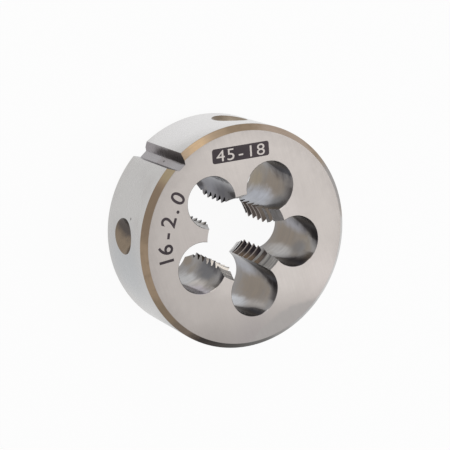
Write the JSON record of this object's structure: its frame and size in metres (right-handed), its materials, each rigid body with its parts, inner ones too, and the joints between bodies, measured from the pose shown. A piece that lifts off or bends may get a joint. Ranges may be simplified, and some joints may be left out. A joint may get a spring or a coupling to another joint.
{
  "type": "round threading die",
  "caption": "Round die for cutting an outside metric thread: a thick ground steel disc, its threaded bore ringed by chip holes, with a V-groove and cone pits in the rim.",
  "frame": {"origin": "centre of the disc on its back face, which rests on the floor", "axes": "+Z along the thread's axis out of the front face, +Y through the middle of the V-groove in the rim"},
  "size_m": [0.045, 0.0449, 0.018],
  "materials": {
    "ground_steel": "ground, with heat-tinted chamfers"
  },
  "bodies": {
    "root": {"die": "ground_steel"}
  },
  "joints": []
}
